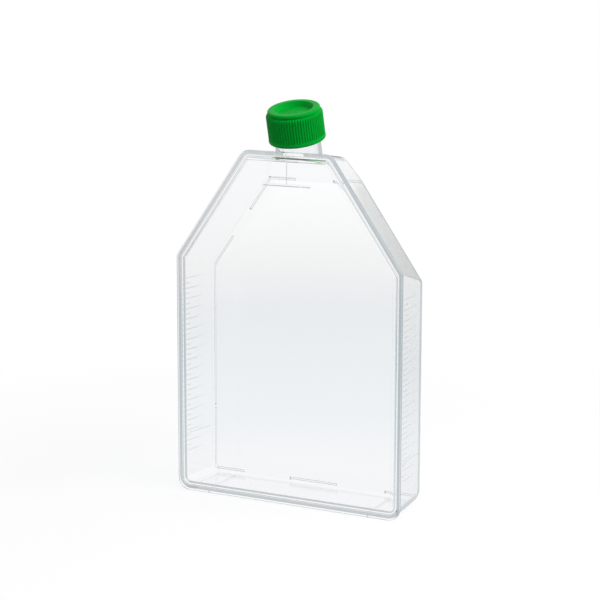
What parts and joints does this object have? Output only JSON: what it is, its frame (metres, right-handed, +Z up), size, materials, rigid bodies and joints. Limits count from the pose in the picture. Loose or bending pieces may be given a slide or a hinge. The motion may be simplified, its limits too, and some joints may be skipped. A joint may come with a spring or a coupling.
{
  "type": "cell culture flask",
  "caption": "Clear cell culture flask standing on its short base, with sloping shoulders, canted neck, welded cover plate, stacking ribs and a ribbed screw cap.",
  "frame": {"origin": "centre of the flat base that the flask stands on", "axes": "+Z up along the height, +X across the width, -Y towards the cover plate and the lean of the neck"},
  "size_m": [0.128, 0.0381, 0.2063],
  "materials": {
    "clear_polystyrene": "gloss, clear",
    "green_polyethylene": "satin gloss"
  },
  "bodies": {
    "flask": {"flask_tub": "clear_polystyrene", "cover_plate": "clear_polystyrene"},
    "cap": {"screw_cap": "green_polyethylene"}
  },
  "joints": [
    {"name": "cap_lift", "type": "slide", "parent": "flask", "child": "cap", "axis": [0, -0.2588, 0.9659], "range_m": [0, 0.035]}
  ]
}
